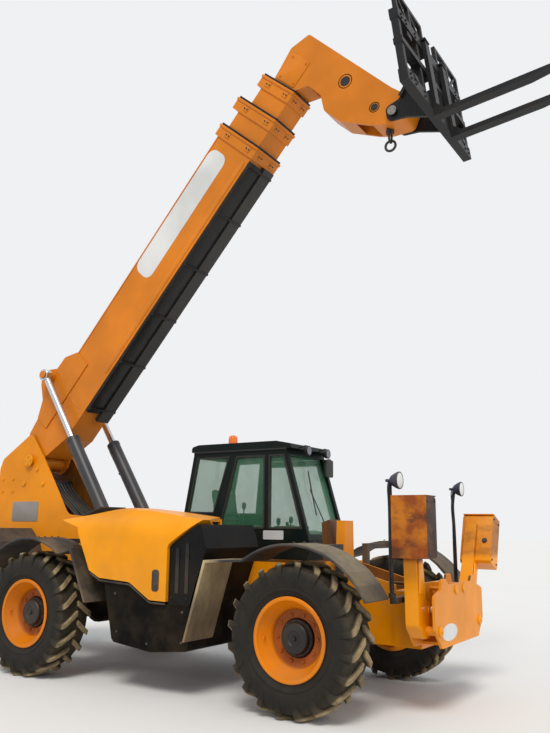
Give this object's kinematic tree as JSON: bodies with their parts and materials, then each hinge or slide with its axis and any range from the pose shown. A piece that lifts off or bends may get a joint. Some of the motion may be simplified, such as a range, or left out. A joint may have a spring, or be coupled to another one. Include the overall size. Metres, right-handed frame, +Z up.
{
  "type": "telehandler",
  "caption": "Telescopic handler with a long sectioned boom raised over the cab side, a nose that carries a fork carriage, four steered wheels and two front stabilisers",
  "frame": {"origin": "on the ground, under the middle of the machine's length and on its centre plane", "axes": "+X forward, +Y to the machine's left, +Z up"},
  "size_m": [7.2194, 2.424, 6.8701],
  "materials": {
    "yellow_paint": "gloss orange-yellow paint, dusty in use",
    "black_paint": "satin black paint",
    "cab_paint": "dark grey satin paint",
    "dark_iron": "dark painted casting",
    "bright_steel": "greased machined steel",
    "rod_chrome": "hard chrome plating",
    "dark_plastic": "black moulded plastic",
    "beacon_lens": "amber lens",
    "seat_cover": "woven dark cloth",
    "window_glass": "tinted safety glass",
    "tyre": "worn dusty tyre tread"
  },
  "bodies": {
    "chassis": {"chassis_frame": "yellow_paint", "counterweight": "dark_iron", "front_frame": "yellow_paint", "boom_cradle": "black_paint", "engine": "dark_iron", "engine_sill": "black_paint", "side_cover": "black_paint", "fuel_tank": "black_paint", "front_axle": "yellow_paint", "rear_axle": "yellow_paint", "front_left_mudguard": "dark_plastic", "front_right_mudguard": "dark_plastic", "rear_left_mudguard": "dark_plastic", "rear_right_mudguard": "dark_plastic", "cab_shell": "cab_paint", "cab_glass": "window_glass", "cab_roof": "cab_paint", "driver_seat": "seat_cover", "dashboard": "dark_plastic", "beacon": "beacon_lens", "work_lamp_left": "dark_plastic", "work_lamp_right": "dark_plastic"},
    "bonnet": {"bonnet": "yellow_paint"},
    "cab_door": {"cab_door": "cab_paint", "door_glass": "window_glass"},
    "boom": {"boom_outer": "yellow_paint", "hose_tray": "dark_plastic"},
    "boom_second": {"boom_second": "yellow_paint"},
    "boom_third": {"boom_third": "yellow_paint"},
    "boom_inner": {"boom_inner": "yellow_paint"},
    "fork_pivot": {"carriage_pin": "bright_steel"},
    "carriage": {"fork_carriage": "black_paint", "fork_left": "black_paint", "fork_right": "black_paint"},
    "lift_barrels": {"lift_barrel_left": "black_paint", "lift_barrel_right": "black_paint"},
    "lift_rods": {"lift_rod_left": "rod_chrome", "lift_rod_right": "rod_chrome"},
    "stabiliser_left": {"stabiliser_left": "yellow_paint"},
    "ram_barrel_left": {"stabiliser_barrel_left": "black_paint"},
    "ram_rod_left": {"stabiliser_rod_left": "rod_chrome"},
    "stabiliser_right": {"stabiliser_right": "yellow_paint"},
    "ram_barrel_right": {"stabiliser_barrel_right": "black_paint"},
    "ram_rod_right": {"stabiliser_rod_right": "rod_chrome"},
    "front_left_knuckle": {"front_left_knuckle": "dark_iron"},
    "front_left_wheel": {"front_left_rim": "yellow_paint", "front_left_tyre": "tyre"},
    "front_right_knuckle": {"front_right_knuckle": "dark_iron"},
    "front_right_wheel": {"front_right_rim": "yellow_paint", "front_right_tyre": "tyre"},
    "rear_left_knuckle": {"rear_left_knuckle": "dark_iron"},
    "rear_left_wheel": {"rear_left_rim": "yellow_paint", "rear_left_tyre": "tyre"},
    "rear_right_knuckle": {"rear_right_knuckle": "dark_iron"},
    "rear_right_wheel": {"rear_right_rim": "yellow_paint", "rear_right_tyre": "tyre"}
  },
  "joints": [
    {"name": "boom_lift", "type": "hinge", "parent": "chassis", "child": "boom", "pos_m": [-2.97965, 0, 2.27], "axis": [0, -1, 0], "range_deg": [-50.5, 21.5]},
    {"name": "boom_extend", "type": "slide", "parent": "boom", "child": "boom_second", "axis": [0.6626, 0, 0.749], "range_m": [0, 3.2]},
    {"name": "third_extend", "type": "slide", "parent": "boom_second", "child": "boom_third", "axis": [0.6626, 0, 0.749], "range_m": [0, 3.2]},
    {"name": "inner_extend", "type": "slide", "parent": "boom_third", "child": "boom_inner", "axis": [0.6626, 0, 0.749], "range_m": [0, 3.2]},
    {"name": "fork_level", "type": "hinge", "parent": "boom_inner", "child": "fork_pivot", "pos_m": [1.94002, 0, 5.60014], "axis": [0, -1, 0], "range_deg": [-21.5, 50.5]},
    {"name": "fork_tilt", "type": "hinge", "parent": "fork_pivot", "child": "carriage", "pos_m": [1.94002, 0, 5.60014], "axis": [0, 1, 0], "range_deg": [-4, 60]},
    {"name": "lift_barrel_swing", "type": "hinge", "parent": "chassis", "child": "lift_barrels", "pos_m": [-1.43565, 0, 1.4], "axis": [0, -1, 0], "range_deg": [-13.24, 5.64]},
    {"name": "lift_rod_slide", "type": "slide", "parent": "lift_barrels", "child": "lift_rods", "axis": [-0.5587, 0, 0.8294], "range_m": [-0.78141, 0.33297]},
    {"name": "stabiliser_left_swing", "type": "hinge", "parent": "chassis", "child": "stabiliser_left", "pos_m": [2.20035, 0.5, 0.68], "axis": [-1, 0, 0], "range_deg": [-21, 88]},
    {"name": "ram_left_swing", "type": "hinge", "parent": "chassis", "child": "ram_barrel_left", "pos_m": [2.30235, 0.1, 0.985], "axis": [1, 0, 0], "range_deg": [-5.29, 1.27]},
    {"name": "ram_left_slide", "type": "slide", "parent": "ram_barrel_left", "child": "ram_rod_left", "axis": [0, 0.9459, -0.3246], "range_m": [-0.05218, 0.21706]},
    {"name": "stabiliser_right_swing", "type": "hinge", "parent": "chassis", "child": "stabiliser_right", "pos_m": [2.20035, -0.5, 0.68], "axis": [1, 0, 0], "range_deg": [0, 109]},
    {"name": "ram_right_swing", "type": "hinge", "parent": "chassis", "child": "ram_barrel_right", "pos_m": [2.30235, -0.1, 0.985], "axis": [-1, 0, 0], "range_deg": [-2.19, 0.01]},
    {"name": "ram_right_slide", "type": "slide", "parent": "ram_barrel_right", "child": "ram_rod_right", "axis": [0, -0.9206, -0.3906], "range_m": [-0.0005, 0.27635]},
    {"name": "front_left_steer", "type": "hinge", "parent": "chassis", "child": "front_left_knuckle", "pos_m": [1.34535, 0.8, 0.61], "axis": [0, 0, 1], "range_deg": [-25, 25]},
    {"name": "front_left_roll", "type": "hinge", "parent": "front_left_knuckle", "child": "front_left_wheel", "pos_m": [1.34535, 1.012, 0.61], "axis": [0, 1, 0], "continuous": true},
    {"name": "front_right_steer", "type": "hinge", "parent": "chassis", "child": "front_right_knuckle", "pos_m": [1.34535, -0.8, 0.61], "axis": [0, 0, 1], "range_deg": [-25, 25]},
    {"name": "front_right_roll", "type": "hinge", "parent": "front_right_knuckle", "child": "front_right_wheel", "pos_m": [1.34535, -1.012, 0.61], "axis": [0, 1, 0], "continuous": true},
    {"name": "rear_left_steer", "type": "hinge", "parent": "chassis", "child": "rear_left_knuckle", "pos_m": [-1.80465, 0.8, 0.61], "axis": [0, 0, 1], "range_deg": [-25, 25]},
    {"name": "rear_left_roll", "type": "hinge", "parent": "rear_left_knuckle", "child": "rear_left_wheel", "pos_m": [-1.80465, 1.012, 0.61], "axis": [0, 1, 0], "continuous": true},
    {"name": "rear_right_steer", "type": "hinge", "parent": "chassis", "child": "rear_right_knuckle", "pos_m": [-1.80465, -0.8, 0.61], "axis": [0, 0, 1], "range_deg": [-25, 25]},
    {"name": "rear_right_roll", "type": "hinge", "parent": "rear_right_knuckle", "child": "rear_right_wheel", "pos_m": [-1.80465, -1.012, 0.61], "axis": [0, 1, 0], "continuous": true},
    {"name": "cab_door_swing", "type": "hinge", "parent": "chassis", "child": "cab_door", "pos_m": [-0.44465, 1.186, 1.3], "axis": [0, 0, 1], "range_deg": [0, 90]},
    {"name": "bonnet_lift", "type": "hinge", "parent": "chassis", "child": "bonnet", "pos_m": [-0.52965, -0.446, 1.553], "axis": [-1, 0, 0], "range_deg": [0, 50]}
  ],
  "couplings": [
    {"joint": "third_extend", "follows": "boom_extend", "ratio": 1},
    {"joint": "inner_extend", "follows": "boom_extend", "ratio": 1},
    {"joint": "fork_level", "follows": "boom_lift", "ratio": -1},
    {"joint": "lift_barrel_swing", "follows": "boom_lift", "ratio": 0.262},
    {"joint": "lift_rod_slide", "follows": "boom_lift", "m_per_rad": 0.886},
    {"joint": "ram_left_swing", "follows": "stabiliser_left_swing", "ratio": -0.06},
    {"joint": "ram_left_slide", "follows": "stabiliser_left_swing", "m_per_rad": 0.141},
    {"joint": "ram_right_swing", "follows": "stabiliser_right_swing", "ratio": -0.02},
    {"joint": "ram_right_slide", "follows": "stabiliser_right_swing", "m_per_rad": 0.145},
    {"joint": "front_right_steer", "follows": "front_left_steer", "ratio": 1},
    {"joint": "rear_right_steer", "follows": "rear_left_steer", "ratio": 1}
  ]
}
